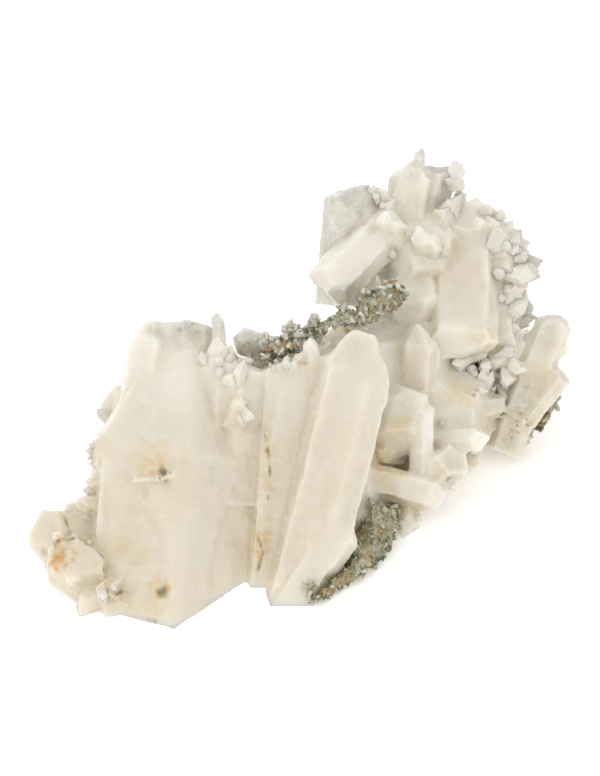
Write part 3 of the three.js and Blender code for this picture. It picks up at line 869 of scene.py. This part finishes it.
# For each patch a line in the front plane's frame, its reach, how many points, the shortest and the longest,
# and their heading.
DRUSE = {
    "shoulder": ([(-26, 12, 4), (-17, 2, 8), (-15, -8, 12)], 9, 11, (4.5, 9.0), (0.1, 1.4, 0.3)),
    "left_side": ([(-66, -22, 8), (-70, -36, 8)], 7, 6, (3.5, 6.5), (-0.8, 0.5, 0.3)),
    "left_foot": ([(-86, -46, 10), (-62, -66, 22)], 10, 6, (3.5, 6.5), (-0.3, 0, 0.9)),
    "seam": ([(-10, 15, -5), (8, 22, -7), (22, 27, -13), (32, 34, -20)], 7, 170, (2.2, 5.0), (-0.1, 1, 0.4)),
    "blade_tops": ([(-8, 8, 5), (6, 12, 5)], 6, 8, (3.0, 6.0), (0, 1.2, 0.3)),
    "heart": ([(26, 62, -38), (36, 54, -34), (48, 52, -36)], 11, 12, (6.0, 12.0), (0, 0.5, 0.9)),
    "crown": (
        [(52, 64, -52), (64, 60, -52), (75, 46, -48), (72, 30, -46)], 13, 44, (7.0, 15.0), (0.3, 0.6, 0.6),
    ),
    "side": ([(66, 26, -44), (68, 4, -42), (60, 0, -40)], 11, 16, (6.0, 13.0), (0.3, 0.1, 0.9)),
    "gap": ([(54, 8, -38), (60, 6, -38)], 8, 8, (7.0, 13.0), (-0.1, 0.2, 0.9)),
    "spray": ([(36, -12, -26), (58, -24, -30), (44, -40, -16)], 9, 8, (4.0, 8.0), (0.2, 0, 0.9)),
    "back_left": ([(-60, -20, -30), (-20, -10, -40)], 18, 36, (5.0, 12.0), (-0.1, 0.6, -0.8)),
    "back_saddle": ([(-10, 0, -42), (24, 8, -58)], 16, 32, (5.0, 11.0), (0, 0.7, -0.7)),
    "back_right": ([(26, 40, -76), (76, 26, -74)], 20, 48, (6.0, 14.0), (0.1, 0.6, -0.8)),
}
SIDES = np.arange(6)
NEXT_SIDES = (SIDES + 1) % 6
POINT_FORM = np.concatenate([
    np.stack([SIDES, NEXT_SIDES, NEXT_SIDES + 6], 1),
    np.stack([SIDES, NEXT_SIDES + 6, SIDES + 6], 1),
    np.stack([SIDES + 6, NEXT_SIDES + 6, np.full(6, 12)], 1),
    [[0, 2, 1], [0, 3, 2], [0, 4, 3], [0, 5, 4]],
])  # the triangles of one point: two for each side, then those of the tip and of the root
POINT_UNEVEN = (0.8, 1.2)  # how far the corners stand from a point's axis, in half widths
POINT_TIP = (0.45, 0.75)  # height of the tip, in widths
POINT_TAPER = 0.96  # width at the shoulder, in widths
POINT_STRAY = 0.12  # how far shoulder and tip stray from their place, in widths
POINT_CORNERS = 13  # a ring of six at the root, a ring of six at the shoulder and a tip


def scattered(surface, count, weight, random):
    """Random places on a surface and its normals there: triangles drawn by area times weight, and a random
    point of each from two numbers folded into the triangle."""
    normals, areas = face_normals(surface.points, surface.triangles)
    chance = areas * weight
    chosen = random.choice(len(areas), count, p=chance / chance.sum())
    share = random.uniform(0, 1, (count, 2))
    share = np.where(share.sum(1, keepdims=True) > 1, 1 - share, share)
    a, b, c = (surface.points[surface.triangles[chosen, k]] for k in range(3))
    return a + share[:, :1] * (b - a) + share[:, 1:] * (c - a), normals[chosen]


def turned(axes, random):
    """A frame of three axes for each given axis, turned about it at random: the axis is the third."""
    axes = axes / np.linalg.norm(axes, axis=1)[:, None]
    side = np.cross(axes, random.normal(size=axes.shape))
    side /= np.linalg.norm(side, axis=1)[:, None]
    return np.stack([side, np.cross(axes, side), axes], 1)


def quartz_points(roots, axes, widths, lengths, random):
    """The corners of many small crystals: a ring of six at the root, a ring of six at the shoulder and a
    tip, with each corner a little in or out, in a frame about each crystal's axis."""
    count = len(roots)
    turn = np.arange(6) * math.pi / 3
    ring = np.stack([np.cos(turn), np.sin(turn)], 1) / 2
    uneven = random.uniform(*POINT_UNEVEN, (count, 6, 1))
    shoulder = lengths - widths * random.uniform(*POINT_TIP, count)
    flat = ring * uneven * widths[:, None, None]
    low = np.concatenate([flat, np.zeros((count, 6, 1))], 2)
    high = np.concatenate([flat * POINT_TAPER, np.broadcast_to(shoulder[:, None, None], (count, 6, 1))], 2)
    high[:, :, 2] += random.uniform(-POINT_STRAY, POINT_STRAY, (count, 6)) * widths[:, None]
    aside = random.uniform(-POINT_STRAY, POINT_STRAY, (count, 2)) * widths[:, None]
    tip = np.concatenate([aside, lengths[:, None]], 1)
    local = np.concatenate([low, high, tip[:, None]], 1)
    return roots[:, None] + np.einsum("nvk,nki->nvi", local, turned(axes, random))


def repeated(form, corners, count):
    """The triangles of a count of like forms: each form's corner numbers follow on from the last one's."""
    return (np.arange(count)[:, None, None] * corners + form).reshape(-1, 3)


def within_box(places):
    """Those of many small crystals that lie inside the solids' box with all their corners, as a mask."""
    return ((places > box_low) & (places < box_high)).all((1, 2))


random = np.random.default_rng(77)
triangle_middles = to_front(skin.points[triangles].mean(1))
druse_places, druse_clear = [], []
for line, reach, count, length_range, heading in DRUSE.values():
    near = 1 - smooth_step(distance_to(triangle_middles, line), 0.5 * reach, reach)
    roots, out = scattered(skin, count, near + 1e-9, random)
    shortest, longest = length_range
    lengths = shortest + (longest - shortest) * random.uniform(0, 1, count) ** 2
    widths = lengths * random.uniform(*DRUSE_WIDTH, count)
    lean = np.asarray(heading) @ FRONT_AXES + random.normal(0, DRUSE_LEAN, (count, 3))
    axes = out + DRUSE_HEADING * lean
    axes /= np.linalg.norm(axes, axis=1)[:, None]
    roots = roots - axes * (DRUSE_SINK * lengths)[:, None]
    places = quartz_points(roots, axes, widths, lengths, random)
    fits = within_box(places)
    druse_places.append(places[fits])
    druse_clear.append(random.uniform(0.0, DRUSE_CLEAR, count)[fits])
druse_places = np.concatenate(druse_places)
druse_clear = np.concatenate(druse_clear)
druse_triangles = repeated(POINT_FORM, POINT_CORNERS, len(druse_places))
druse_front = to_front(druse_places.reshape(-1, 3))
druse_green = np.zeros(len(druse_front))
for line in CRUST_LINES.values():
    druse_green = np.maximum(druse_green, 0.5 * (1 - smooth_step(distance_to(druse_front, line), 3, 7)))
druse_finish = quartz_material("druse_quartz", 0.0)
new_piece("druse_points", druse_places.reshape(-1, 3), druse_triangles, {
    "clear": ("POINT", np.repeat(druse_clear, POINT_CORNERS)),
    "white": ("POINT", np.repeat(random.uniform(0.6, 1.0, len(druse_places)), POINT_CORNERS)),
    "green": ("POINT", druse_green),
    "tone": ("FACE", np.repeat(random.uniform(-1, 1, len(druse_places)), len(POINT_FORM))),
}, druse_finish)


# Chlorite. Crusts of green chlorite and brown clay that settled between the crystals: a seam in the saddle,
# a foot under the middle blades and a thin rim under the side spray. They are rough and made of fine grains,
# and small points of quartz have grown through them.
CRUST_EDGE = 0.62  # longest edge of a crust's triangles
CRUST_LUMPS = ((3.2, 0.8), (1.5, 0.5), (0.8, 0.3))  # size and height of the lumps
CRUST_SINK = 1.5  # how far the crust's mean face lies under the solid's
GRAIN_RADIUS = (0.22, 0.62)
GRAIN_COUNT = {"chlorite_seam": 1700, "chlorite_foot": 1500, "chlorite_rim": 500}
CRUST_POINTS = {"chlorite_seam": 230, "chlorite_foot": 60, "chlorite_rim": 12}  # points of quartz on each
CRUST_POINT_LENGTH = (1.3, 3.6)
CRUST_POINT_SINK = 0.4  # how far their roots are under the crust
CRUST_POINT_LEAN = 0.5  # how far they lean from its own direction
LOOSE_GRAINS = 700  # grains on the quartz beside the crusts
PALE_END = (2, 30, 0.2)  # from where to where rightwards a crust turns paler, and by how much
DARK_END = (-16, -4, 0.45)  # the same for its dark left end
CHLORITE_STOPS = [
    (0.0, (0.045, 0.045, 0.022)),
    (0.24, (0.165, 0.165, 0.085)),
    (0.48, (0.345, 0.345, 0.215)),
    (0.74, (0.53, 0.52, 0.375)),
    (1.0, (0.74, 0.69, 0.55)),
]
CLAY = (0.47, 0.33, 0.18, 1)
CRUST_GRAIN = (1500, 3, 0.6)  # bumps per metre, detail and roughness of the noise of the grains
CLAY_PATCHES = (150, 3, 0.6)  # the same for the patches of clay
CRUST_RELIEF = {"Strength": 0.6, "Distance": 0.0006}
GRAIN_CORNERS = np.array([[1, 0, 0], [-1, 0, 0], [0, 1, 0], [0, -1, 0], [0, 0, 1], [0, 0, -1]], float)
GRAIN_FORM = np.array([
    [0, 2, 4], [2, 1, 4], [1, 3, 4], [3, 0, 4],
    [2, 0, 5], [1, 2, 5], [3, 1, 5], [0, 3, 5],
])


def chlorite_material():
    """Fine green-grey grains from near black to pale, with brown clay in patches: the tone of each grain
    comes from an attribute, broken up by noise, and picks its colour from a ramp."""
    material, new = new_material("chlorite_crust")
    shade = new.attribute("shade")
    fine = new.grain(*CRUST_GRAIN)
    patch = new.grain(*CLAY_PATCHES)
    pick = (shade * 0.75 + fine * 0.7 - 0.22).clamped()
    colour = new.node("ShaderNodeValToRGB", {"stops": CHLORITE_STOPS}, {"Fac": pick})
    colour = colour.tint(CLAY, patch.over(0.44, 0.62) * 0.8)
    bump = new.node("ShaderNodeBump", None, {**CRUST_RELIEF, "Height": fine})
    crust = new.node("ShaderNodeBsdfPrincipled", None, {
        "Base Color": colour, "Roughness": fine.over(0.2, 0.8) * 0.3 + 0.6, "Normal": bump,
        "Specular IOR Level": 0.35,
    })
    new.node("ShaderNodeOutputMaterial", None, {"Surface": crust})
    return material


def grains(places, radii, random):
    """Points and triangles of many small grains: an eight-faced grain at each place, stretched and turned
    at random."""
    count = len(places)
    stretch = random.uniform(0.6, 1.3, (count, 6, 1)) * radii[:, None, None]
    frames = turned(random.normal(size=(count, 3)), random)
    points = places[:, None] + np.einsum("nvk,nki->nvi", GRAIN_CORNERS * stretch, frames)
    return points.reshape(-1, 3), repeated(GRAIN_FORM, len(GRAIN_CORNERS), count)


def crust_step(places):
    """The step between a crust's points, the same at every place."""
    return np.full(len(places), CRUST_EDGE)


crust_finish = chlorite_material()
grain_places, grain_shades, crust_points = [], [], []
for node, count in GRAIN_COUNT.items():
    places, corners = welded(node)
    numbers = facets_of(places, corners)
    places, corners, _ = remeshed(places, corners, numbers, (CRUST_EDGE,), crust_step)
    crust = Surface(places, corners)
    rise = sum(tall * noise(places, cell, 90 + k) for k, (cell, tall) in enumerate(CRUST_LUMPS))
    crust.points = np.clip(places + (rise - CRUST_SINK)[:, None] * crust.normals(), box_low, box_high)
    rightward = to_front(places)[:, 0]
    start, end, paler = PALE_END
    end_tone = paler * smooth_step(rightward, start, end)
    start, end, darker = DARK_END
    end_tone = end_tone - darker * (1 - smooth_step(rightward, start, end))
    # The crust is painted paler on its lumps and darker in the low places between them, a painted shade.
    shade = 0.5 + 0.55 * noise(places, 4, 95) + 0.3 * noise(places, 1.5, 96) + 0.25 * rise + end_tone
    piece = new_piece(node + "_crust", crust.points, corners, {
        "shade": ("POINT", np.clip(shade, 0, 1)),
    }, crust_finish)
    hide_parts(node)
    at, out = scattered(crust, CRUST_POINTS[node], 1, random)
    lengths = random.uniform(*CRUST_POINT_LENGTH, len(at))
    axes = out + random.normal(0, CRUST_POINT_LEAN, out.shape)
    point_places = quartz_points(at - CRUST_POINT_SINK * out, axes, 0.5 * lengths, lengths, random)
    crust_points.append(point_places[within_box(point_places)])
    at, _ = scattered(crust, count, 1, random)
    grain_places.append(at)
    tones = 0.5 + 0.5 * noise(at, 4, 95) + random.normal(0, 0.28, count)
    grain_shades.append(np.clip(tones, 0, 1))
near_green = green[triangles].mean(1) ** 2
at, _ = scattered(skin, LOOSE_GRAINS, near_green + 1e-9, random)
grain_places.append(at)
grain_shades.append(np.clip(random.normal(0.5, 0.25, len(at)), 0, 1))
grain_places = np.concatenate(grain_places)
grain_shades = np.concatenate(grain_shades)
radii = random.uniform(*GRAIN_RADIUS, len(grain_places))
grain_points, grain_triangles = grains(grain_places, radii, random)
grain_points = np.clip(grain_points, box_low, box_high)
new_piece("chlorite_grains", grain_points, grain_triangles, {
    "shade": ("POINT", np.repeat(grain_shades, len(GRAIN_CORNERS))),
}, crust_finish)

crust_points = np.concatenate(crust_points)
point_triangles = repeated(POINT_FORM, POINT_CORNERS, len(crust_points))
new_piece("crust_points", crust_points.reshape(-1, 3), point_triangles, {
    "clear": ("POINT", np.repeat(random.uniform(0.0, 0.4, len(crust_points)), POINT_CORNERS)),
    "white": ("POINT", np.repeat(random.uniform(0.3, 1.0, len(crust_points)), POINT_CORNERS)),
    "green": ("POINT", np.repeat(random.uniform(0.1, 0.9, len(crust_points)), POINT_CORNERS)),
}, druse_finish)


# Floor and light. A plain pale table of smooth board, which lets some light through from below, under a wide
# and even light, with one soft lamp from the upper left.
FLOOR_SIDE = 8.0
FLOOR_COLOUR = (0.93, 0.925, 0.915, 1)
FLOOR_GLOW = 0.3  # light that comes through the pale table from below
floor_mesh = bpy.data.meshes.new("floor")
half = FLOOR_SIDE / 2
floor_corners = [(-half, -half, 0), (half, -half, 0), (half, half, 0), (-half, half, 0)]
floor_mesh.from_pydata(floor_corners, [], [(0, 1, 2, 3)])
floor = bpy.data.objects.new("floor", floor_mesh)
bpy.context.scene.collection.objects.link(floor)
floor_finish, new = new_material("pale_floor")
floor_board = new.node("ShaderNodeBsdfPrincipled", None, {
    "Base Color": FLOOR_COLOUR, "Roughness": 0.8,
    "Emission Color": FLOOR_COLOUR, "Emission Strength": FLOOR_GLOW,
})
new.node("ShaderNodeOutputMaterial", None, {"Surface": floor_board})
floor_mesh.materials.append(floor_finish)

ROOM_LIGHT = (1, 0.99, 0.975, 1)
ROOM_STRENGTH = 0.99
world = bpy.data.worlds.new("studio")
world.use_nodes = True
room = world.node_tree.nodes["Background"].inputs
room["Color"].default_value = ROOM_LIGHT
room["Strength"].default_value = ROOM_STRENGTH
bpy.context.scene.world = world
bpy.context.scene.view_settings.view_transform = "Standard"

KEY_PLACE = Vector((-0.55, -0.6, 0.95))
KEY_SIZE = 0.4  # metres
KEY_ENERGY = 1.4  # watts
key = bpy.data.objects.new("key_light", bpy.data.lights.new("key_light", "AREA"))
key.data.size = KEY_SIZE
key.data.energy = KEY_ENERGY
key.matrix_world = Matrix.Translation(KEY_PLACE) @ KEY_PLACE.to_track_quat("Z", "Y").to_matrix().to_4x4()
bpy.context.scene.collection.objects.link(key)
